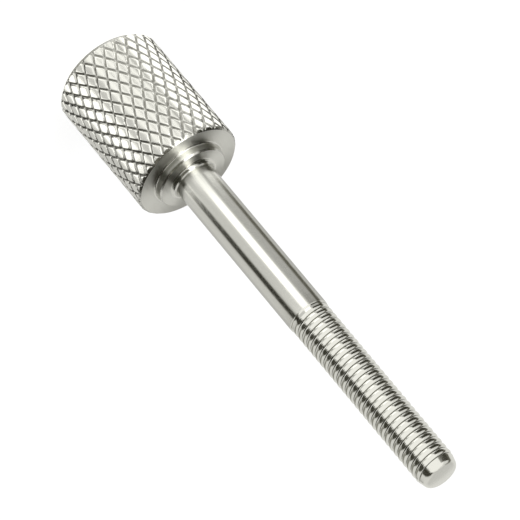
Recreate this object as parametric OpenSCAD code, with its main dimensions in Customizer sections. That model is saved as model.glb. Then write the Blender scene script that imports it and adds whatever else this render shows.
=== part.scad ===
// Shoulder bolt with a knurled thumb head, turned from one bar of steel.
// It stands on the flat top of its head: z = 0 is that face, and +Z runs
// along the shank to the threaded tip.

/* [Head] */
// Diameter over the tops of the knurl
head_d = 16.5; // [14:0.1:20]
// Height of the head from its flat top to its underside
head_h = 20.9; // [14:0.1:30]
// Bevel round the flat top, measured along the axis
top_bevel = 0.9; // [0.4:0.1:1.5]
// Bevel round the underside
under_bevel = 0.35; // [0.1:0.05:0.8]

/* [Knurl] */
// Grooves in each of the two crossing directions
knurl_starts = 28; // [24:1:32]
// Angle of the grooves to the axis, in degrees
knurl_angle = 31; // [27:0.5:35]
// Lean of the rows of diamonds from the axis, in degrees
knurl_lean = 2.5; // [-4:0.5:4]
// Depth of the grooves
knurl_depth = 0.32; // [0.15:0.01:0.45]
// Width of a groove at the top, as a share of the groove spacing
knurl_open = 0.34; // [0.2:0.02:0.6]
// Level of the first row of diamonds above the flat top
knurl_first = 1.15; // [0.2:0.05:1.4]

/* [Boss] */
// Diameter of the low boss under the head
boss_d = 11; // [9.5:0.1:13]
// Height of the boss
boss_h = 1.3; // [1:0.1:3]
// Bevel round the boss
boss_bevel = 0.25; // [0.1:0.05:0.4]
// Radius in the corner between the boss and the head
boss_fillet = 0.25; // [0.1:0.05:0.4]

/* [Shank] */
// Diameter of the plain shank
shank_d = 6.15; // [6.1:0.01:7]
// Length from the underside of the head to the start of the thread
grip_len = 29.5; // [12:0.5:60]
// Radius where the shank meets the boss
root_fillet = 0.7; // [0.3:0.05:1]
// Bevel at the threaded end of the shank
shank_bevel = 0.12; // [0.05:0.01:0.3]

/* [Thread] */
// Diameter over the crests
thread_d = 6; // [5.7:0.01:6.05]
// Pitch of the right-hand thread
thread_pitch = 1; // [0.75:0.05:1.25]
// Length from the shank to the tip
thread_len = 30.7; // [8:0.1:50]
// Length over which the groove comes to its full depth
thread_runout = 0.8; // [0.5:0.1:3]

/* [Tip] */
// Diameter where the taper at the end meets the rounded edge
tip_d = 5.3; // [5:0.05:5.5]
// Angle of the taper to the axis, in degrees
tip_angle = 15; // [10:1:25]
// Radius of the rounded edge
tip_round = 0.8; // [0.4:0.05:1.2]
// Radius of the crown on the end
tip_crown = 12; // [6:0.5:30]

/* [Hidden] */
steel = [0.78, 0.78, 0.74];
round_fn = 96;

// Levels along the axis
boss_z = head_h + boss_h;
shank_end = head_h + grip_len;
tip_z = shank_end + thread_len;

// Radii
head_r = head_d / 2;
boss_r = boss_d / 2;
shank_r = shank_d / 2;
thread_r = thread_d / 2;
tip_r = tip_d / 2;

// Knurl: the groove families rise by knurl_rise_a and knurl_rise_b for one
// groove spacing round the head, so diamonds sit in rows row_step apart.
groove_r = head_r - knurl_depth;
groove_step = 360 / knurl_starts;
spacing = PI * head_d / knurl_starts;
rise_a = spacing / tan(knurl_angle + knurl_lean);
rise_b = spacing / tan(knurl_angle - knurl_lean);
row_step = 1 / (1 / rise_a + 1 / rise_b);
row_turn = row_step / rise_a;
half_flat = (1 - knurl_open) / 2;

// The rows run a little past both ends of the head before it is cut to length
cut_spare = 0.1;
row_first = ceil((-cut_spare - knurl_first) / row_step) - 1;
row_last = floor((head_h + cut_spare - knurl_first) / row_step) + 1;
rows = row_last - row_first + 1;

// Thread: a 60 degree groove with a flat of an eighth of the pitch on the
// crests and a quarter in the root, as rows of four points to each pitch.
thread_sides = 24;
crest_flat = thread_pitch / 8;
root_flat = thread_pitch / 4;
flank = (thread_pitch - crest_flat - root_flat) / 2;
thread_depth = flank / tan(30);
thread_row = [0, crest_flat, crest_flat + flank, crest_flat + flank + root_flat];
thread_low = shank_end - 1.3 * thread_pitch;
thread_turns = ceil((tip_z - thread_low) / thread_pitch) + 1;
thread_last = 4 * thread_turns;

function knurl_level(row) = knurl_first + row * row_step;

// A point on the head, a grooves along one family and b along the other
function knurl_point(a, b, r) =
    let (turn = (b + (a - b) * (1 - row_turn)) * groove_step)
    [r * cos(turn), r * sin(turn), knurl_level(a - b)];

// Crossing of groove k of the first family in a row of crossings
function crossing(row, k) = knurl_point(k, k - row, groove_r);

// The four corners of the flat top of one diamond: low, side, high, side
function flat_corners(row, k) =
    let (a = k + 0.5, b = k + 0.5 - row, h = half_flat)
    [
        knurl_point(a - h, b + h, head_r),
        knurl_point(a + h, b + h, head_r),
        knurl_point(a + h, b - h, head_r),
        knurl_point(a - h, b - h, head_r)
    ];

// Numbers of the points, with k counted round the head
function crossing_id(row, k) =
    (row - row_first + 1) * knurl_starts + (k + 10 * knurl_starts) % knurl_starts;
flat_base = (rows + 2) * knurl_starts;
function flat_id(row, k, corner) =
    flat_base + 4 * ((row - row_first) * knurl_starts + k) + corner;

// A solid rod with the diamonds standing on it, longer than the head
module knurled_rod() {
    crossings = [
        for (row = [row_first - 1 : row_last + 1], k = [0 : knurl_starts - 1]) crossing(row, k)
    ];
    flats = [
        for (row = [row_first : row_last], k = [0 : knurl_starts - 1], p = flat_corners(row, k)) p
    ];
    low_centre = len(crossings) + len(flats);
    ends = [[0, 0, knurl_level(row_first - 1)], [0, 0, knurl_level(row_last + 1)]];
    diamonds = [
        for (row = [row_first : row_last], k = [0 : knurl_starts - 1])
            let (
                corners = [
                    crossing_id(row - 1, k),
                    crossing_id(row, k + 1),
                    crossing_id(row + 1, k + 1),
                    crossing_id(row, k)
                ],
                top = [for (c = [0 : 3]) flat_id(row, k, c)]
            )
            each [
                [top[0], top[2], top[1]],
                [top[0], top[3], top[2]],
                for (c = [0 : 3])
                    each [
                        [corners[c], top[c], corners[(c + 1) % 4]],
                        [top[c], top[(c + 1) % 4], corners[(c + 1) % 4]]
                    ]
            ]
    ];
    low_cap = [
        for (k = [0 : knurl_starts - 1])
            each [
                [low_centre, crossing_id(row_first, k), crossing_id(row_first - 1, k)],
                [low_centre, crossing_id(row_first - 1, k), crossing_id(row_first, k + 1)]
            ]
    ];
    high_cap = [
        for (k = [0 : knurl_starts - 1])
            each [
                [low_centre + 1, crossing_id(row_last + 1, k + 1), crossing_id(row_last, k)],
                [low_centre + 1, crossing_id(row_last, k + 1), crossing_id(row_last + 1, k + 1)]
            ]
    ];
    polyhedron(concat(crossings, flats, ends), concat(diamonds, low_cap, high_cap));
}

// Outline of the head, with both bevels, as the knurled rod is turned down
module head_blank() {
    far_r = head_r + 1;
    rotate_extrude($fn = round_fn)
        polygon([
            [0, 0],
            [head_r - top_bevel, 0],
            [far_r, top_bevel + 1],
            [far_r, head_h - under_bevel - 1],
            [head_r - under_bevel, head_h],
            [0, head_h]
        ]);
}

module head() {
    intersection() {
        knurled_rod();
        head_blank();
    }
}

// Boss and plain shank, as one turned profile that starts inside the head
module boss_and_shank() {
    rotate_extrude($fn = round_fn)
        difference() {
            polygon([
                [0, head_h - 1],
                [boss_r + boss_fillet, head_h - 1],
                [boss_r + boss_fillet, head_h],
                [boss_r + boss_fillet, head_h + boss_fillet],
                [boss_r, head_h + boss_fillet],
                [boss_r, boss_z - boss_bevel],
                [boss_r - boss_bevel, boss_z],
                [shank_r + root_fillet, boss_z],
                [shank_r + root_fillet, boss_z + root_fillet],
                [shank_r, boss_z + root_fillet],
                [shank_r, shank_end - shank_bevel],
                [shank_r - shank_bevel, shank_end],
                [0, shank_end]
            ]);
            translate([boss_r + boss_fillet, head_h + boss_fillet])
                circle(r = boss_fillet, $fn = round_fn);
            translate([shank_r + root_fillet, boss_z + root_fillet])
                circle(r = root_fillet, $fn = round_fn);
        }
}

// Share of the full groove depth at a level
function runout(z) = max(0, min(1, (z - shank_end) / thread_runout));

// Point j of the thread's profile at side i of the rod
function thread_point(i, j) =
    let (
        row = j % 4,
        z = thread_low + thread_pitch * (floor(j / 4) + i / thread_sides) + thread_row[row],
        r = row < 2 ? thread_r : thread_r - thread_depth * runout(z),
        turn = 360 * i / thread_sides
    )
    [r * cos(turn), r * sin(turn), z];

function thread_id(i, j) = i < thread_sides ? i * (thread_last + 1) + j : j + 4;

// A rod with a helical groove, from inside the shank to past the tip
module threaded_rod() {
    points = [
        for (i = [0 : thread_sides - 1], j = [0 : thread_last]) thread_point(i, j)
    ];
    low_centre = len(points);
    ends = [
        [0, 0, thread_low + thread_pitch / 2],
        [0, 0, thread_low + thread_pitch * (thread_turns + 0.5)]
    ];
    walls = [
        for (i = [0 : thread_sides - 1], j = [0 : thread_last - (i < thread_sides - 1 ? 1 : 5)])
            each [
                [thread_id(i, j), thread_id(i, j + 1), thread_id(i + 1, j)],
                [thread_id(i + 1, j), thread_id(i, j + 1), thread_id(i + 1, j + 1)]
            ]
    ];
    low_loop = concat(
        [for (i = [0 : thread_sides - 1]) thread_id(i, 0)],
        [for (j = [4 : -1 : 1]) thread_id(0, j)]
    );
    high_loop = concat(
        [for (i = [0 : thread_sides - 1]) thread_id(i, thread_last)],
        [for (j = [thread_last - 1 : -1 : thread_last - 4]) thread_id(thread_sides - 1, j)]
    );
    loop_size = len(low_loop);
    caps = [
        for (k = [0 : loop_size - 1])
            each [
                [low_centre, low_loop[k], low_loop[(k + 1) % loop_size]],
                [low_centre + 1, high_loop[(k + 1) % loop_size], high_loop[k]]
            ]
    ];
    polyhedron(concat(points, ends), concat(walls, caps));
}

// Envelope of the end of the thread: a taper, a rounded edge and a low crown,
// each running smoothly into the next
module tip_blank() {
    far_r = thread_r + 1;
    round_x = tip_r - tip_round * cos(tip_angle);
    crown_z = tip_z - tip_crown;
    round_z = crown_z + sqrt(pow(tip_crown - tip_round, 2) - pow(round_x, 2));
    taper_z = round_z + tip_round * sin(tip_angle);
    crown_x = round_x * tip_crown / (tip_crown - tip_round);
    crown_edge_z = crown_z + sqrt(pow(tip_crown, 2) - pow(crown_x, 2));
    rotate_extrude($fn = round_fn) {
        polygon([
            [0, thread_low - 2],
            [far_r, thread_low - 2],
            [far_r, taper_z - (far_r - tip_r) / tan(tip_angle)],
            [tip_r, taper_z],
            [round_x, round_z],
            [crown_x, crown_edge_z],
            [0, crown_edge_z]
        ]);
        translate([round_x, round_z])
            circle(r = tip_round, $fn = round_fn / 2);
        intersection() {
            translate([0, crown_z])
                circle(r = tip_crown, $fn = 2 * round_fn);
            translate([0, crown_edge_z])
                square([crown_x, tip_round]);
        }
    }
}

module thread() {
    intersection() {
        threaded_rod();
        tip_blank();
    }
}

module shoulder_bolt() {
    color(steel) {
        union() {
            head();
            boss_and_shank();
            thread();
        }
    }
}

shoulder_bolt();
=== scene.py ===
import math

import bpy
import numpy as np
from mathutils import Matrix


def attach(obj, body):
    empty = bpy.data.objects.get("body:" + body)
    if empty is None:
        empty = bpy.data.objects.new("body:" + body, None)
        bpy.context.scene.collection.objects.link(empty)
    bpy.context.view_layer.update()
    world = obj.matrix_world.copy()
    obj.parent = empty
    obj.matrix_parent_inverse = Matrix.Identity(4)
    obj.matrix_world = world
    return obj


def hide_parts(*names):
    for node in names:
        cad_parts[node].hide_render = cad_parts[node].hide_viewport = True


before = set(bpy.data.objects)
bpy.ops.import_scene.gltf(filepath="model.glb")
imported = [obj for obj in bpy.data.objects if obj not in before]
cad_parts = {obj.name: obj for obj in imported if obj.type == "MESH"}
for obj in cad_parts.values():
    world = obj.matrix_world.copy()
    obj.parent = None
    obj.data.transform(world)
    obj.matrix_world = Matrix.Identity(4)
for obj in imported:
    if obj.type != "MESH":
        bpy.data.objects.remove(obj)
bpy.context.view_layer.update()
scene = bpy.context.scene
scene.view_settings.view_transform = "Standard"

mm = 0.001
fullTurn = 2 * math.pi


def smoothStep(value, low, high):
    # 0 below low, 1 above high, with a soft S between them
    part = np.clip((value - low) / (high - low), 0.0, 1.0)
    return part * part * (3.0 - 2.0 * part)


def bandShare(away, half, soft):
    # 1 within half of the middle, 0 beyond it, with a soft edge
    return 1.0 - smoothStep(away, half - soft / 2, half + soft / 2)


def awayFrom(angle, middle):
    # how far angles lie from another, the short way round, in degrees
    return np.abs((angle - middle + 180.0) % 360.0 - 180.0)


def arcPoints(centre, radius, fromAngle, toAngle, steps):
    # points on a circle round centre, from one angle to another, in degrees
    angle = np.radians(np.linspace(fromAngle, toAngle, steps + 1))
    return np.stack([centre[0] + radius * np.cos(angle), centre[1] + radius * np.sin(angle)], axis=1)


def linePoints(start, end, steps):
    part = np.linspace(0.0, 1.0, steps + 1)[:, None]
    return np.array(start) * (1 - part) + np.array(end) * part


def toPlace(radius, turn, level):
    # radius, angle round the axis and level along it, to x, y, z
    radius, turn, level = np.broadcast_arrays(radius, turn, level)
    return np.stack([radius * np.cos(turn), radius * np.sin(turn), level], axis=-1)


def ringTurns(count):
    return np.arange(count) * fullTurn / count


def cellFaces(a, b, c, d):
    # two triangles for each cell with the corners a, b, c, d, split from a to c
    return np.stack([np.stack([a, b, c], -1), np.stack([a, c, d], -1)], -2).reshape(-1, 3)


def wallFaces(ids):
    # ids is rows by columns, and the last column joins the first
    after = np.roll(ids, -1, axis=1)
    return cellFaces(ids[:-1], after[:-1], after[1:], ids[1:])


def zipRings(lowIds, highIds, lowTurn, highTurn):
    # joins two rings with different counts: each edge of a ring gets the
    # vertex of the other ring that the middle of the edge has come to
    lowOrder, highOrder = np.argsort(lowTurn % fullTurn), np.argsort(highTurn % fullTurn)
    low, high = lowIds[lowOrder], highIds[highOrder]
    lowAt, highAt = np.sort(lowTurn % fullTurn), np.sort(highTurn % fullTurn)
    lowMid = (lowAt + np.append(lowAt[1:], lowAt[0] + fullTurn)) / 2
    highMid = (highAt + np.append(highAt[1:], highAt[0] + fullTurn)) / 2
    toHigh = np.searchsorted(highMid, lowMid, side="left") % len(high)
    toLow = np.searchsorted(lowMid, highMid, side="right") % len(low)
    fromLow = np.stack([low, np.roll(low, -1), high[toHigh]], axis=1)
    fromHigh = np.stack([low[toLow], np.roll(high, -1), high], axis=1)
    return np.concatenate([fromLow, fromHigh])


class Skin:
    # collects the vertices, faces, finishes and painted values of one closed piece
    def __init__(self):
        self.places = []
        self.values = []
        self.faces = []
        self.finishes = []
        self.count = 0

    def points(self, places, groove=0.0, edge=0.0, along=0.0):
        shape = places.shape[:-1]
        ids = self.count + np.arange(int(np.prod(shape))).reshape(shape)
        painted = [np.broadcast_to(value, shape).ravel() for value in (groove, edge, along)]
        self.places.append(places.reshape(-1, 3))
        self.values.append(np.stack(painted, axis=1))
        self.count += ids.size
        return ids

    def add(self, faces, finish):
        # faces that use a vertex twice are left out
        a, b, c = faces.T
        faces = faces[(a != b) & (b != c) & (c != a)]
        self.faces.append(faces)
        self.finishes.append(np.full(len(faces), finish))

    def piece(self, name, finishes, sharpAngle):
        used, faces = np.unique(np.concatenate(self.faces), return_inverse=True)
        places = np.concatenate(self.places)[used] * mm
        values = np.concatenate(self.values)[used]
        mesh = bpy.data.meshes.new(name)
        mesh.from_pydata(places, [], faces.reshape(-1, 3))
        for finish in finishes:
            mesh.materials.append(finish)
        mesh.polygons.foreach_set("material_index", np.concatenate(self.finishes))
        for column, label in enumerate(("groove", "edge", "along")):
            paint(mesh, label, values[:, column])
        mesh.shade_smooth()
        mesh.set_sharp_from_angle(angle=math.radians(sharpAngle))
        mesh.update()
        return addObject(name, mesh)


def paint(mesh, label, values):
    # one value for each vertex, which the materials read by its name
    layer = mesh.attributes.new(label, "FLOAT", "POINT")
    layer.data.foreach_set("value", values.astype(np.float32))


def addObject(name, data):
    made = bpy.data.objects.new(name, data)
    scene.collection.objects.link(made)
    return made


def feed(tree, socket, value):
    # links a socket to the one given, or sets its value
    if isinstance(value, bpy.types.NodeSocket):
        tree.links.new(value, socket)
    else:
        socket.default_value = value


def node(tree, kind, inputs=None, **settings):
    made = tree.nodes.new(kind)
    for label, value in settings.items():
        setattr(made, label, value)
    for label, value in (inputs or {}).items():
        feed(tree, made.inputs[label], value)
    return made


def maths(tree, operation, *values, clamp=False):
    made = node(tree, "ShaderNodeMath", dict(enumerate(values)), operation=operation, use_clamp=clamp)
    return made.outputs[0]


def mixColour(tree, amount, first, second, blend="MIX"):
    inputs = {0: amount, 6: first, 7: second}
    made = node(tree, "ShaderNodeMix", inputs, data_type="RGBA", blend_type=blend, clamp_result=False)
    return made.outputs[2]


def attribute(tree, label):
    return node(tree, "ShaderNodeAttribute", attribute_name=label).outputs["Fac"]


def noise(tree, inputs, dimensions="3D"):
    return node(tree, "ShaderNodeTexNoise", inputs, noise_dimensions=dimensions).outputs[0]


def makeGroup(name, ins, outs):
    # an empty node group with its sockets, and its input and output nodes
    group = bpy.data.node_groups.new(name, "ShaderNodeTree")
    for label, kind, value in ins:
        socket = group.interface.new_socket(name=label, in_out="INPUT", socket_type=kind)
        socket.default_value = value
    for label, kind in outs:
        group.interface.new_socket(name=label, in_out="OUTPUT", socket_type=kind)
    return group, node(group, "NodeGroupInput").outputs, node(group, "NodeGroupOutput").inputs


camera = {
    "lens": 242.38,
    "sensor": 36.0,
    "clip": (0.01, 20.0),
    "location": (0.011864, -0.427072, 0.261152),
    "turn": (-55.8774, -34.6205, 160.5107),
}


def makeCamera():
    data = bpy.data.cameras.new("camera")
    data.lens, data.sensor_width = camera["lens"], camera["sensor"]
    data.clip_start, data.clip_end = camera["clip"]
    eye = addObject("camera", data)
    eye.location = camera["location"]
    eye.rotation_euler = [math.radians(angle) for angle in camera["turn"]]
    scene.camera = eye


makeCamera()
print("camera placed")


# The bolt. Its sizes are in millimetres: z = 0 is the flat top of the head, and
# +Z runs to the tip. Its finishes have the order of their materials, below.
knurled, faced, plain, threaded, rounded = range(5)

head = {
    "diameter": 16.5,
    "height": 20.9,
    "topBevel": 0.9,
    "underBevel": 0.35,
    "capRings": 8,
}

knurl = {
    "starts": 28,
    "angle": 31.0,
    "lean": 2.5,
    "depth": 0.22,
    "open": 0.20,        # width of a groove at the surface, in spacings of the grooves
    "nose": 0.24,        # how high the sharp corners of a diamond stay: less rounds them off
    "softness": 5.0,     # of the corners, higher is sharper
    "firstRow": 1.15,    # level of the first row of crossings
    "steps": 12,         # mesh columns from one groove to the next
    "crown": 0.016,      # rise of the middle of a diamond over its edges
    "unevenness": 0.020, # how far the sides of a diamond may tip
    "blend": 0.02,       # how softly the turned bevels take over
    "edge": 0.06,        # half width of the painted highlight on the edge of a groove, in spacings
    "shadeAt": 0.055,     # how far from the middle of the groove its line of painted shade lies, in spacings
    "shadeHalf": 0.05,    # half width of that line of painted shade, in spacings
    "shadeGap": (0.03, 0.14),  # distance to a crossing groove where that line starts
    "shadeDeep": 0.3,     # painted shade at the bottom of a groove
    "shadeCorner": 0.9,   # painted shade at the rounded corners
    "lighterSide": (-118.0, 52.0, 0.45),  # side with less painted shade: middle and half width in degrees, share
}


def headOutline(level):
    # radius that the head is turned down to at a level: two bevels and the full diameter
    full = head["diameter"] / 2
    low = full - head["topBevel"] + level
    high = full - head["underBevel"] + head["height"] - level
    return np.minimum(full, np.minimum(low, high))


def knurlLattice():
    # the step along the head from one row of diamonds to the next, and the
    # turn that goes with it, in groove spacings
    spacing = math.pi * head["diameter"] / knurl["starts"]
    riseA = spacing / math.tan(math.radians(knurl["angle"] + knurl["lean"]))
    riseB = spacing / math.tan(math.radians(knurl["angle"] - knurl["lean"]))
    rowStep = 1.0 / (1.0 / riseA + 1.0 / riseB)
    return rowStep, rowStep / riseA


def knurlLevels(rowStep):
    # even rows that go with the lattice, and one at each corner of the head
    small = rowStep / knurl["steps"]
    firstRow = knurl["firstRow"]
    own = np.array([0.0, head["topBevel"], head["height"] - head["underBevel"], head["height"]])
    lowest, highest = math.ceil(-firstRow / small), math.floor((head["height"] - firstRow) / small)
    levels = firstRow + np.arange(lowest, highest + 1) * small
    levels = levels[np.abs(levels[:, None] - own).min(axis=1) > 0.4 * small]
    return np.sort(np.concatenate([levels, own]))


def diamondDraw(first, row, salt):
    # one fixed draw between -1 and 1 for each diamond
    value = np.sin(first * 12.9898 + row * 78.233 + salt * 37.719) * 43758.5453
    return 2.0 * (value - np.floor(value)) - 1.0


def softMinimum(values, softness):
    return (values ** -softness).sum(axis=0) ** (-1.0 / softness)


def knurlShade(a, b, gapA, gapB, crossing, cut, turn):
    # painted shade: a dark line on one wall of each groove and dark rounded corners,
    # and less of it on one side of the head
    wallShade = np.zeros(cut.shape)
    for mine, other in ((a, gapB), (b, gapA)):
        past = mine - np.round(mine) + knurl["shadeAt"]
        line = np.exp(-(past / knurl["shadeHalf"]) ** 2) * smoothStep(other, *knurl["shadeGap"])
        wallShade = np.maximum(wallShade, line)
    corner = smoothStep(np.minimum(gapA, gapB) - crossing, -0.02, 0.03) * cut
    darkening = np.maximum(np.maximum(wallShade, knurl["shadeDeep"] * cut), knurl["shadeCorner"] * corner)
    middle, half, least = knurl["lighterSide"]
    apart = awayFrom(np.degrees(turn), middle)
    return darkening * (1.0 - least * (1.0 - smoothStep(apart, half * 0.5, half)))


def knurledSide(skin, finish):
    # radius = the lower of the turned outline and the knurl; the knurl is the
    # full radius less a V wherever a or b is near a whole number, where a and b
    # count the grooves of the two families
    rowStep, rowTurn = knurlLattice()
    levels = knurlLevels(rowStep)[:, None]
    row = (levels - knurl["firstRow"]) / rowStep
    a = (np.arange(knurl["starts"] * knurl["steps"]) / knurl["steps"])[None, :] + 0 * row
    b = a - row
    turn = (a - row * rowTurn) * fullTurn / knurl["starts"]
    wholeA, wholeB = np.floor(a + 1e-9), np.floor(b + 1e-9)
    sideA, sideB = a - wholeA - 0.5, b - wholeB - 0.5
    gapA, gapB = 0.5 - np.abs(sideA), 0.5 - np.abs(sideB)
    crossing = knurl["nose"] * (1.0 - np.abs(sideA - sideB))
    away = softMinimum(np.stack([gapA, gapB, crossing]) + 1e-4, knurl["softness"])
    half = knurl["open"] / 2
    cut = np.clip(1.0 - away / half, 0.0, 1.0)
    # each diamond tips its own way and is slightly crowned
    first, which = wholeA % knurl["starts"], wholeA - wholeB
    tipping = diamondDraw(first, which, 0) * sideA + diamondDraw(first, which, 1) * sideB
    crown = -knurl["crown"] * (sideA ** 2 + sideB ** 2) * 4.0
    land = (tipping * 2 - 1) * knurl["unevenness"] + crown
    radius = head["diameter"] / 2 - knurl["depth"] * cut + land * (1.0 - cut)
    outline = headOutline(levels)
    knurlLeft = 1.0 - smoothStep(radius - outline, -knurl["blend"], knurl["blend"])
    # painted highlight along the edges of the grooves
    edge = np.exp(-((away - half) / knurl["edge"]) ** 2) * knurlLeft
    # painted shade in the grooves, which darkens the steel there
    darkening = knurlShade(a, b, gapA, gapB, crossing, cut, turn) * knurlLeft
    ids = skin.points(toPlace(np.minimum(radius, outline), turn, levels), darkening, edge, levels)
    skin.add(wallFaces(ids), finish)
    return ids, turn


def flatTop(skin, outer, outerTurn, finish):
    # rings from the middle of the flat top out to the first ring of the head
    radii = (head["diameter"] / 2 - head["topBevel"]) * np.linspace(0, 1, head["capRings"] + 1)[1:-1]
    turn = ringTurns(shank["columns"])
    middle = skin.points(np.zeros((1, 3)))
    rings = skin.points(toPlace(radii[:, None], turn[None, :], 0.0), along=radii[:, None])
    skin.add(np.stack([np.full(len(turn), middle[0]), np.roll(rings[0], -1), rings[0]], axis=1), finish)
    skin.add(wallFaces(rings), finish)
    skin.add(zipRings(rings[-1], outer, turn, outerTurn), finish)


boss = {
    "diameter": 11.0,
    "height": 1.3,
    "bevel": 0.25,
    "fillet": 0.25,
    "draft": 0.07,       # how much the wall leans in, over its height
}

shank = {
    "diameter": 6.15,
    "length": 29.5,      # from the underside of the head to the thread
    "rootFillet": 0.7,
    "bevel": 0.12,
    "nearCorner": 0.04,  # short stretch beside a corner, which keeps its shading there
    "columns": 112,
}


def turnedOutline():
    # outline from the underside of the head to the end of the plain shank, as
    # radius and level, with the finish of each stretch
    under, bossTop = head["height"], head["height"] + boss["height"]
    bossR, shankR, neckR = boss["diameter"] / 2, shank["diameter"] / 2, thread["diameter"] / 2
    rim = head["diameter"] / 2 - head["underBevel"]
    foot, root, near = boss["fillet"], shank["rootFillet"], shank["nearCorner"]
    wallR, wallEnd = bossR - boss["draft"], bossTop - boss["bevel"]
    faceR = bossR - boss["bevel"]
    end = head["height"] + shank["length"]
    shankEnd = end - shank["bevel"]
    stretches = [
        (faced, linePoints((rim, under), (bossR + foot, under), 6)),
        (plain, arcPoints((bossR + foot, under + foot), foot, -90, -180, 6)),
        (plain, linePoints((bossR, under + foot), (wallR, wallEnd - near), 4)),
        (plain, linePoints((wallR, wallEnd - near), (wallR, wallEnd), 1)),
        (plain, linePoints((wallR, wallEnd), (faceR, bossTop), 3)),
        (faced, linePoints((faceR, bossTop), (faceR - near, bossTop), 1)),
        (faced, linePoints((faceR - near, bossTop), (shankR + root, bossTop), 5)),
        (plain, arcPoints((shankR + root, bossTop + root), root, -90, -180, 14)),
        (plain, linePoints((shankR, bossTop + root), (shankR, shankEnd - near), 26)),
        (plain, linePoints((shankR, shankEnd - near), (shankR, shankEnd), 1)),
        (plain, linePoints((shankR, shankEnd), (neckR, end - near), 2)),
        (plain, linePoints((neckR, end - near), (neckR, end), 1)),
    ]
    points = np.concatenate([stretches[0][1]] + [part[1:] for _, part in stretches[1:]])
    finishes = np.concatenate([np.full(len(part) - 1, finish) for finish, part in stretches])
    return points, finishes


def turnedBody(skin, rim, rimTurn):
    points, finishes = turnedOutline()
    turn = ringTurns(shank["columns"])
    along = np.append(0.0, np.cumsum(np.hypot(*np.diff(points, axis=0).T))) + head["height"]
    ids = skin.points(toPlace(points[1:, :1], turn[None, :], points[1:, 1:]), along=along[1:, None])
    skin.add(zipRings(rim, ids[0], rimTurn, turn), faced)
    for row, finish in enumerate(finishes[1:]):
        skin.add(wallFaces(ids[row:row + 2]), int(finish))
    return ids[-1], turn


thread = {
    "diameter": 6.0,
    "pitch": 1.0,
    "length": 30.7,
    "runout": 0.8,
    "crestStart": -1.185,  # where the first crest starts, in pitches past the plain shank
    "rootHalf": 0.06,    # half width of the sharp bottom of the groove, in pitches
    "rootSide": 60.0,    # slope of its sides
    "crestSlope": 45.0,  # steepest slope of the rounded crest
    "crestLines": 10,
    "shadeFrom": 0.6,     # share of the depth where the painted shade starts
    "columns": 72,
}

tip = {
    "diameter": 5.3,
    "taper": 15.0,
    "edgeRadius": 0.8,
    "crownRadius": 12.0,
    "turnOver": 42.0,    # angle on the rounded edge where the thread ends
    "edgeRings": 7,
    "rings": 8,
}


def threadProfile():
    # phases over one pitch and the depth there in pitches: a crest rounded like
    # the arc of a circle, between narrow grooves with steeper sides
    half, slope = thread["rootHalf"], math.radians(thread["crestSlope"])
    arcR = (0.5 - half) / math.sin(slope)
    lean = np.linspace(-slope, slope, thread["crestLines"] + 1)
    phases = np.concatenate([[-0.5, -0.5 + half / 2], arcR * np.sin(lean), [0.5 - half / 2]])
    arcDepth = arcR * (1.0 - np.cos(lean))
    side = arcDepth[0] + half * math.tan(math.radians(thread["rootSide"])) * np.array([1.0, 0.5])
    return phases, np.concatenate([side, arcDepth, side[1:]])


def tipShape():
    # the centre of the rounded edge of the end, and the highest level
    top = head["height"] + shank["length"] + thread["length"]
    radius, crown = tip["edgeRadius"], tip["crownRadius"]
    centreX = tip["diameter"] / 2 - radius * math.cos(math.radians(tip["taper"]))
    centreZ = top - crown + math.sqrt((crown - radius) ** 2 - centreX ** 2)
    return centreX, centreZ, top


def tipLimit(level):
    # radius of the taper below its end, and of the rounded edge above it
    centreX, centreZ, _ = tipShape()
    radius, slope = tip["edgeRadius"], math.radians(tip["taper"])
    end = centreZ + radius * math.sin(slope)
    taper = tip["diameter"] / 2 + (end - level) * math.tan(slope)
    edge = centreX + np.sqrt(np.maximum(radius ** 2 - np.maximum(level - centreZ, 0.0) ** 2, 0.0))
    return np.where(level < end, taper, edge)


def threadedEnd(skin, start, startTurn, finish):
    # lines follow the helix: each climbs one pitch in a turn and closes on the
    # line a pitch above. Lines beyond either end are folded onto its ring.
    pitch, columns = thread["pitch"], thread["columns"]
    low = head["height"] + shank["length"]
    _, centreZ, _ = tipShape()
    high = centreZ + tip["edgeRadius"] * math.sin(math.radians(tip["turnOver"]))
    crestAt = low + thread["crestStart"] * pitch
    phases, below = threadProfile()
    samples = len(phases)
    turns = math.ceil((high - crestAt) / pitch + 1)
    count = turns * samples + 1
    lines = np.arange(count)
    phase = (np.arange(turns + 1)[:, None] + phases[None, :]).ravel()[:count]
    depth = np.tile(below, turns + 1)[:count]
    column = np.arange(columns + 1)
    free = crestAt + pitch * (phase[None, :] + column[:, None] / columns)
    level = np.clip(free, low, high)
    depth = depth[None, :] * pitch * np.clip((level - low) / thread["runout"], 0.0, 1.0)
    limit = tipLimit(level)
    radius = np.minimum(thread["diameter"] / 2 - depth, limit)
    # painted shade in the bottoms of the grooves, left out where the tip cuts the thread
    groove = smoothStep(depth / (below.max() * pitch), thread["shadeFrom"], 1.0) * (radius < limit - 0.01)
    turn = column * fullTurn / columns
    ids = skin.points(toPlace(radius, turn[:, None], level), groove, 0.0, free)
    firstLine = (free <= low).sum(axis=1) - 1
    lastLine = (free < high).sum(axis=1)
    wanted = np.clip(lines[None, :], firstLine[:, None], lastLine[:, None])
    ids = np.take_along_axis(ids, wanted, axis=1)
    # the last column is the first one, a pitch further up
    ids[-1] = ids[0][np.clip(lines + samples, firstLine[0], lastLine[0])]
    skin.add(cellFaces(ids[:-1, :-1], ids[1:, :-1], ids[1:, 1:], ids[:-1, 1:]), finish)
    skin.add(zipRings(start, ids[:-1, 0], startTurn, turn[:-1]), finish)
    return ids[:-1, -1], turn[:-1]


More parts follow.
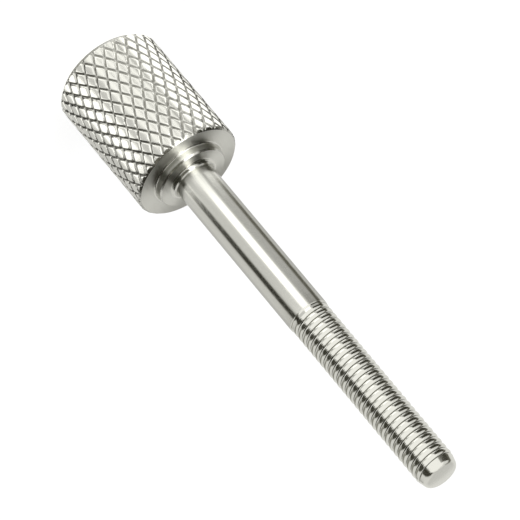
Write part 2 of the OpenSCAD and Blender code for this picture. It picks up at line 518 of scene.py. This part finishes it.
def crownedTip(skin, ring, turn, finish):
    # the rest of the rounded edge, and a low spherical cap that it runs into
    centreX, centreZ, top = tipShape()
    radius, crown = tip["edgeRadius"], tip["crownRadius"]
    meets = math.degrees(math.acos(centreX / (crown - radius)))
    edge = arcPoints((centreX, centreZ), radius, tip["turnOver"], meets, tip["edgeRings"])[1:]
    radii = edge[-1, 0] * np.linspace(1, 0, tip["rings"] + 1)[1:-1]
    cap = np.stack([radii, top - crown + np.sqrt(crown ** 2 - radii ** 2)], axis=1)
    outline = np.concatenate([edge, cap])
    rings = skin.points(toPlace(outline[:, :1], turn[None, :], outline[:, 1:]), along=outline[:, :1])
    middle = skin.points(np.array([[0.0, 0.0, top]]))
    skin.add(wallFaces(np.concatenate([ring[None, :], rings])), finish)
    last = rings[-1]
    skin.add(np.stack([last, np.roll(last, -1), np.full(len(last), middle[0])], axis=1), finish)


def makeBolt(finishes):
    skin = Skin()
    side, sideTurn = knurledSide(skin, knurled)
    flatTop(skin, side[0], sideTurn[0], faced)
    end, endTurn = turnedBody(skin, side[-1], sideTurn[-1])
    ring, ringTurn = threadedEnd(skin, end, endTurn, threaded)
    crownedTip(skin, ring, ringTurn, rounded)
    return skin.piece("turnedBolt", finishes, 35)


steel = {
    "colour": (0.77, 0.768, 0.722, 1.0),
    # colour of the painted shade in the grooves, and of the painted highlight on their edges
    "paintedShade": (0.055, 0.052, 0.040, 1.0),
    "edgeHighlight": (0.86, 0.855, 0.82, 1.0),
    "grain": 0.25,               # turn of the streaks in the highlights
    "paintedShadeRough": 0.35,          # how much rougher the steel is where shade is painted
    "scratchRough": 0.05,        # and in a scratch
    "bumpHeight": 0.00001,       # in metres
    "wander": (140.0, 0.12),     # of the tool marks round the axis: noise scale, distance in mm
    "fineRatio": 4.7,            # fine tool marks for each coarse one
    "scratchTurn": (0.5, 0.9, 0.2),
    "scratchStretch": (1.0, 0.12, 1.0),
    "scratchSteep": 30.0,
    "paintedShadeSpread": (0.8, 0.6),   # how much smudges change the painted shade, and the least of it
    "paintedShadeReach": 1.6,           # how far the painted shade climbs out of the grooves
}


def makeToolMarks():
    # rings left by the tool: noise in the length along the outline only, a
    # coarse and a fine one, with a little wander round the axis
    group, taken, given = makeGroup(
        "toolMarks",
        [
            ("Along", "NodeSocketFloat", 0.0),
            ("Per mm", "NodeSocketFloat", 9.0),
            ("Fine", "NodeSocketFloat", 0.5),
        ],
        [("Height", "NodeSocketFloat"), ("Streak", "NodeSocketFloat")],
    )
    wanderScale, wander = steel["wander"]
    spot = node(group, "ShaderNodeTexCoord").outputs["Object"]
    drift = noise(group, {"Vector": spot, "Scale": wanderScale, "Detail": 1.0})
    along = maths(group, "MULTIPLY_ADD", drift, wander, taken["Along"])
    coarseAt = maths(group, "MULTIPLY", along, taken["Per mm"])
    fineAt = maths(group, "MULTIPLY", coarseAt, steel["fineRatio"])
    coarse, fine = [noise(group, {"W": at, "Scale": 1.0, "Detail": 2.0}, "1D") for at in (coarseAt, fineAt)]
    feed(group, given["Height"], maths(group, "MULTIPLY_ADD", fine, taken["Fine"], coarse))
    feed(group, given["Streak"], fine)
    return group


def makeHandling():
    # smudges and hairline scratches on handled metal: slow noise for the
    # smudges, thin ridges of stretched noise for the scratches
    group, taken, given = makeGroup(
        "handling",
        [("Smudge size", "NodeSocketFloat", 260.0), ("Scratch size", "NodeSocketFloat", 900.0)],
        [("Smudge", "NodeSocketFloat"), ("Scratch", "NodeSocketFloat")],
    )
    spot = node(group, "ShaderNodeTexCoord").outputs["Object"]
    stretch = {"Vector": spot, "Rotation": steel["scratchTurn"], "Scale": steel["scratchStretch"]}
    tilted = node(group, "ShaderNodeMapping", stretch).outputs[0]
    lines = noise(group, {"Vector": tilted, "Scale": taken["Scratch size"], "Detail": 1.0})
    off = maths(group, "ABSOLUTE", maths(group, "SUBTRACT", lines, 0.5))
    steep = maths(group, "MULTIPLY", off, steel["scratchSteep"])
    smudge = noise(group, {"Vector": spot, "Scale": taken["Smudge size"], "Detail": 3.0})
    feed(group, given["Smudge"], smudge)
    feed(group, given["Scratch"], maths(group, "SUBTRACT", 1.0, steep, clamp=True))
    return group


def makeGrooveShade():
    # painted shade in the grooves and a painted highlight on their edges
    group, taken, given = makeGroup(
        "grooveShade",
        [
            ("Colour", "NodeSocketColor", steel["colour"]),
            ("Shade mask", "NodeSocketFloat", 0.0),
            ("Edge", "NodeSocketFloat", 0.0),
            ("Smudge", "NodeSocketFloat", 0.5),
            ("Painted shade", "NodeSocketFloat", 0.5),
            ("Edge highlight", "NodeSocketFloat", 0.5),
        ],
        [("Colour", "NodeSocketColor"), ("Dull", "NodeSocketFloat")],
    )
    patchy = maths(group, "MULTIPLY_ADD", taken["Smudge"], *steel["paintedShadeSpread"])
    deep = maths(group, "MULTIPLY", taken["Shade mask"], steel["paintedShadeReach"], clamp=True)
    darkening = maths(group, "MULTIPLY", maths(group, "MULTIPLY", deep, patchy), taken["Painted shade"], clamp=True)
    shine = maths(group, "MULTIPLY", taken["Edge"], taken["Edge highlight"], clamp=True)
    bright = mixColour(group, shine, taken["Colour"], steel["edgeHighlight"])
    feed(group, given["Colour"], mixColour(group, darkening, bright, steel["paintedShade"]))
    feed(group, given["Dull"], darkening)
    return group


toolMarks = makeToolMarks()
handling = makeHandling()
grooveShade = makeGrooveShade()

# one look for each finish of the bolt, with the strength of its painted shade and painted highlight
steels = {
    "knurledSteel": {
        "roughness": 0.20, "smudge": 0.08, "anisotropic": 0.0,
        "marksPerMm": 5.0, "fineMarks": 0.4, "markDepth": 0.2, "streak": 0.04,
        "scratch": 0.2, "paintedShade": 1.1, "edgeHighlight": 0.4,
    },
    "facedSteel": {
        "roughness": 0.38, "smudge": 0.06, "anisotropic": 0.9,
        "marksPerMm": 7.0, "fineMarks": 0.6, "markDepth": 0.2, "streak": 0.06,
        "scratch": 0.1, "paintedShade": 0.0, "edgeHighlight": 0.0,
    },
    "shankSteel": {
        "roughness": 0.19, "smudge": 0.05, "anisotropic": 0.3,
        "marksPerMm": 6.0, "fineMarks": 0.5, "markDepth": 0.1, "streak": 0.03,
        "scratch": 0.1, "paintedShade": 0.0, "edgeHighlight": 0.0,
    },
    "threadSteel": {
        "roughness": 0.14, "smudge": 0.04, "anisotropic": 0.0,
        "marksPerMm": 6.0, "fineMarks": 0.4, "markDepth": 0.1, "streak": 0.04,
        "scratch": 0.1, "paintedShade": 0.75, "edgeHighlight": 0.0,
    },
    "tipSteel": {
        "roughness": 0.22, "smudge": 0.06, "anisotropic": 0.3,
        "marksPerMm": 6.0, "fineMarks": 0.5, "markDepth": 0.2, "streak": 0.06,
        "scratch": 0.2, "paintedShade": 0.0, "edgeHighlight": 0.0,
    },
}


def makeSteel(name, look):
    # bare steel: tool marks give bump and faint streaks, scratches give bump and
    # roughness, smudges roughness, and the grooves get painted shade and their edges a painted highlight
    finish = bpy.data.materials.new(name)
    finish.use_nodes = True
    tree = finish.node_tree
    marks = node(
        tree,
        "ShaderNodeGroup",
        {"Along": attribute(tree, "along"), "Per mm": look["marksPerMm"], "Fine": look["fineMarks"]},
        node_tree=toolMarks,
    ).outputs
    hands = node(tree, "ShaderNodeGroup", node_tree=handling).outputs
    shade = node(
        tree,
        "ShaderNodeGroup",
        {
            "Shade mask": attribute(tree, "groove"),
            "Edge": attribute(tree, "edge"),
            "Smudge": hands["Smudge"],
            "Painted shade": look["paintedShade"],
            "Edge highlight": look["edgeHighlight"],
        },
        node_tree=grooveShade,
    ).outputs
    streak = maths(tree, "MULTIPLY_ADD", marks["Streak"], look["streak"], 1.0 - look["streak"] / 2)
    smooth = look["roughness"] - look["smudge"] / 2
    rough = maths(tree, "MULTIPLY_ADD", hands["Smudge"], look["smudge"], smooth)
    rough = maths(tree, "MULTIPLY_ADD", shade["Dull"], steel["paintedShadeRough"], rough)
    rough = maths(tree, "MULTIPLY_ADD", hands["Scratch"], steel["scratchRough"], rough, clamp=True)
    height = maths(tree, "MULTIPLY", marks["Height"], look["markDepth"])
    height = maths(tree, "MULTIPLY_ADD", hands["Scratch"], -look["scratch"], height)
    relief = {"Height": height, "Distance": steel["bumpHeight"], "Strength": 1.0}
    bump = node(tree, "ShaderNodeBump", relief)
    shader = tree.nodes["Principled BSDF"].inputs
    feed(tree, shader["Base Color"], mixColour(tree, 1.0, shade["Colour"], streak, "MULTIPLY"))
    feed(tree, shader["Metallic"], 1.0)
    feed(tree, shader["Roughness"], rough)
    feed(tree, shader["Normal"], bump.outputs[0])
    feed(tree, shader["Anisotropic"], look["anisotropic"])
    feed(tree, shader["Anisotropic Rotation"], steel["grain"])
    if look["anisotropic"] > 0:
        across = node(tree, "ShaderNodeTangent", direction_type="RADIAL", axis="Z")
        feed(tree, shader["Tangent"], across.outputs[0])
    return finish


bolt = makeBolt([makeSteel(name, look) for name, look in steels.items()])
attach(bolt, "root")
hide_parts("shoulder_bolt")
print("bolt made,", len(bolt.data.polygons), "faces")


# A light tent that only reflections see: a ground disc, a round wall, and a
# wide collar and dome over it. Angles are degrees round the axis, counted from
# the side that the camera stands on; level 1 is white.
tent = {
    "front": -88.4,
    "radius": 40.0,
    "low": -50.0,
    "high": 32.0,
    "domeRadius": 450.0,
    "middle": 65.0,      # level that the dome is centred on
    "groundHole": 0.02,  # hole in the middle of the ground disc, as a share of the radius
    "top": 89.9,         # elevation where the dome ends
    "columns": 360,
    "wallRows": 60,
    "collarRows": 24,
    "domeRows": 60,
    "grey": 0.69,        # of what no strip covers
    "split": (2.5, 4.5),         # levels where headStrips give way to strips
    "groundSplit": (-24.0, -28.0),  # and where groundStrips take over
    # strips of the wall: middle, half width, softness, level
    "strips": [
        (152.5, 30.0, 8.0, 0.56),
        (-152.5, 30.0, 8.0, 0.53),
        (-66.0, 24.0, 6.0, 0.50),
        (-102.0, 13.0, 9.0, 0.12),
        (60.0, 13.5, 8.0, 0.03),
        (-19.0, 17.0, 5.0, 1.75),
    ],
    # the last of them starts with this share, and grows between these levels
    "dim": (0.45, 4.0, 12.0),
    "headStrips": [
        (-24.0, 38.0, 10.0, 1.25),
        (-52.0, 5.0, 6.0, 0.45),
        (-29.0, 3.0, 5.0, 0.60),
        (-8.0, 2.5, 5.0, 0.65),
        (62.0, 22.0, 5.0, 1.6),
        (-96.0, 34.0, 8.0, 1.6),
    ],
    # strips of the ground, for the sides of the knurl's grooves
    "groundStrips": [
        (0.0, 180.0, 1.0, 0.40),
        (-13.0, 42.0, 10.0, 1.5),
        (72.0, 40.0, 12.0, 0.02),
        (-128.0, 34.0, 8.0, 0.9),
    ],
    # patches of the collar and dome: middle, half width, lowest and highest
    # elevation as seen from the dome's middle, softness, level
    "patches": [
        (180.0, 180.0, -95.0, 95.0, 1.0, 0.60),
        (180.0, 70.0, -95.0, 60.0, 10.0, 0.84),
        (180.0, 95.0, 26.0, 92.0, 8.0, 0.66),
        (-12.0, 48.0, -95.0, 95.0, 8.0, 1.10),
        (105.0, 30.0, -95.0, -5.0, 8.0, 0.30),
        (105.0, 30.0, -5.0, 75.0, 8.0, 0.80),
        (55.0, 15.0, -95.0, 60.0, 7.0, 0.05),
        (-83.0, 23.0, -5.0, 75.0, 7.0, 0.80),
        (-103.0, 9.0, -6.0, 60.0, 7.0, 0.10),
        (-74.0, 32.0, -95.0, -6.0, 8.0, 0.04),
        (-70.0, 26.0, -8.0, 8.0, 5.0, 0.05),
        (54.0, 22.0, -8.0, 8.0, 5.0, 0.05),
    ],
}


def stripLevels(azimuth, strips):
    level = np.full(azimuth.shape, tent["grey"])
    for middle, half, soft, value in strips:
        share = bandShare(awayFrom(azimuth, middle), half, soft)
        level = level * (1.0 - share) + value * share
    return level


def tentOutline():
    # radius and level of the rings, from the ground to the top of the dome
    radius, high, wide = tent["radius"], tent["high"], tent["domeRadius"]
    ground = linePoints((tent["groundHole"] * radius, tent["low"]), (radius, tent["low"]), 3)[:-1]
    wall = linePoints((radius, tent["low"]), (radius, high), tent["wallRows"] - 1)
    collarR = radius * (wide / radius) ** np.linspace(0.0, 1.0, tent["collarRows"])[1:]
    collar = np.stack([collarR, np.full(len(collarR), high)], axis=1)
    edge = math.degrees(math.asin((high - tent["middle"]) / wide))
    dome = arcPoints((0.0, tent["middle"]), wide, edge, tent["top"], tent["domeRows"])
    return np.concatenate([ground, wall, collar, dome])


def tentAzimuths():
    return np.arange(tent["columns"]) * 360.0 / tent["columns"]


def tentPlaces(radii, azimuth, levels):
    return toPlace(radii, np.radians(azimuth + tent["front"])[None, :], levels)


def makeTent():
    azimuth = tentAzimuths()
    outline = tentOutline()
    radii, levels = outline[:, :1], outline[:, 1:]
    upper = smoothStep(levels, *tent["split"])
    ground = smoothStep(levels, *tent["groundSplit"])
    least, start, end = tent["dim"]
    grown = least + (1.0 - least) * smoothStep(levels, start, end)
    without, whole = [stripLevels(azimuth, strips) for strips in (tent["strips"][:-1], tent["strips"])]
    lower = stripLevels(azimuth, tent["headStrips"]) * (1.0 - ground)
    lower = lower + stripLevels(azimuth, tent["groundStrips"]) * ground
    glow = (without + (whole - without) * grown) * upper + lower * (1.0 - upper)
    rise = np.degrees(np.arctan2(levels - tent["middle"], radii))
    overWall = radii > tent["radius"] * 1.01
    for middle, half, lowest, highest, soft, value in tent["patches"]:
        share = bandShare(awayFrom(azimuth, middle), half, soft)
        share = share * smoothStep(rise, lowest - soft / 2, lowest + soft / 2) * overWall
        share = share * bandShare(rise, highest, soft)
        glow = glow * (1.0 - share) + value * share
    hang("lightTent", tentPlaces(radii, azimuth, levels), glow)


# A flat brim round the shank that is seen from below only, by the underside
# of the head and the boss
brim = {
    "level": 45.0,
    "inner": 8.0,
    "outer": 75.0,
    "rows": 30,
    "strips": [
        (180.0, 180.0, 1.0, 0.74),
        (-94.0, 32.0, 10.0, 0.03),
        (88.0, 46.0, 10.0, 0.03),
        (14.0, 27.0, 10.0, 0.12),
        (-28.0, 15.0, 9.0, 2.4),
    ],
    # nearer the shank than these radii the back is dark
    "near": (24.0, 30.0),
    "nearLevel": 0.03,
    "back": (90.0, 110.0),
}


def makeBrim():
    azimuth = tentAzimuths()
    radii = np.linspace(brim["inner"], brim["outer"], brim["rows"])[:, None]
    dark = smoothStep(awayFrom(azimuth, 0.0), *brim["back"]) * (1.0 - smoothStep(radii, *brim["near"]))
    glow = stripLevels(azimuth, brim["strips"]) * (1.0 - dark) + brim["nearLevel"] * dark
    hang("lightBrim", tentPlaces(radii, azimuth, brim["level"]), glow, oneSided=True)


# the colour of the cloth where it is dark and where it is bright
clothTints = ((1.0, 0.96, 0.72, 1.0), (1.0, 0.995, 0.965, 1.0))


def hang(name, places, glow, oneSided=False):
    # a piece of glowing cloth that only reflections see
    mesh = bpy.data.meshes.new(name)
    ids = np.arange(glow.size).reshape(glow.shape)
    mesh.from_pydata(places.reshape(-1, 3) * mm, [], wallFaces(ids))
    paint(mesh, "glow", glow.ravel())
    mesh.update()
    cloth = bpy.data.materials.new(name)
    cloth.use_nodes = True
    tree = cloth.node_tree
    tree.nodes.clear()
    strength = attribute(tree, "glow")
    tint = mixColour(tree, maths(tree, "MULTIPLY", strength, 2.0, clamp=True), *clothTints)
    light = node(tree, "ShaderNodeEmission", {"Strength": strength, "Color": tint})
    if oneSided:
        light = frontOnly(tree, light)
    node(tree, "ShaderNodeOutputMaterial", {"Surface": light.outputs[0]})
    cloth.cycles.emission_sampling = "NONE"
    mesh.materials.append(cloth)
    piece = addObject(name, mesh)
    for rays in ("camera", "diffuse", "shadow", "transmission", "volume_scatter"):
        setattr(piece, "visible_" + rays, False)


def frontOnly(tree, shader):
    # lets rays through that come from behind
    clear = node(tree, "ShaderNodeBsdfTransparent")
    behind = node(tree, "ShaderNodeNewGeometry").outputs["Backfacing"]
    return node(tree, "ShaderNodeMixShader", {0: behind, 1: shader.outputs[0], 2: clear.outputs[0]})


def shownRays(tree):
    # 1 for rays from the camera and for reflected and refracted ones
    path = node(tree, "ShaderNodeLightPath").outputs
    seen = maths(tree, "MAXIMUM", path["Is Camera Ray"], path["Is Glossy Ray"])
    return maths(tree, "MAXIMUM", seen, path["Is Transmission Ray"])


floor = {
    "size": 3.0,
    "colour": (0.93, 0.93, 0.93, 1.0),
    "glow": 0.62,
}


def makeFloor():
    side = floor["size"]
    mesh = bpy.data.meshes.new("floor")
    corners = [(-side, -side, 0), (side, -side, 0), (side, side, 0), (-side, side, 0)]
    mesh.from_pydata(corners, [], [(0, 1, 2, 3)])
    paper = bpy.data.materials.new("floorPaper")
    paper.use_nodes = True
    tree = paper.node_tree
    tree.nodes.clear()
    body = node(tree, "ShaderNodeBsdfDiffuse", {"Color": floor["colour"]})
    glow = maths(tree, "MULTIPLY", shownRays(tree), floor["glow"])
    lit = node(tree, "ShaderNodeEmission", {"Strength": glow})
    both = node(tree, "ShaderNodeAddShader", {0: body.outputs[0], 1: lit.outputs[0]})
    node(tree, "ShaderNodeOutputMaterial", {"Surface": frontOnly(tree, both).outputs[0]})
    mesh.materials.append(paper)
    piece = addObject("floor", mesh)
    piece.visible_glossy = False


lamps = {
    "key": {"from": (-0.35, -0.45, 0.70), "size": 0.9, "power": 1.6},
    "fill": {"from": (0.60, -0.20, 0.55), "size": 0.9, "power": 0.9},
    "back": {"from": (0.05, 0.60, 0.60), "size": 0.9, "power": 0.9},
}
lampAim = 0.03       # level on the axis that the lamps point at


def makeLamps():
    for name, soft in lamps.items():
        data = bpy.data.lights.new(name, "AREA")
        data.size, data.energy = soft["size"], soft["power"]
        lamp = addObject(name, data)
        lamp.location = soft["from"]
        lamp.visible_glossy = False
        away = lamp.location.copy()
        away.z -= lampAim
        lamp.rotation_mode = "QUATERNION"
        lamp.rotation_quaternion = away.to_track_quat("Z", "Y")


backdrop = {
    "colour": (1.0, 1.0, 1.0, 1.0),
    "fill": 0.25,        # its strength for rays that light the floor and the bolt
}


def makeBackdrop():
    world = bpy.data.worlds.new("studio")
    scene.world = world
    world.use_nodes = True
    tree = world.node_tree
    background = tree.nodes["Background"].inputs
    feed(tree, background["Color"], backdrop["colour"])
    feed(tree, background["Strength"], maths(tree, "MAXIMUM", shownRays(tree), backdrop["fill"]))


makeTent()
makeBrim()
makeFloor()
makeLamps()
makeBackdrop()
print("studio lit")
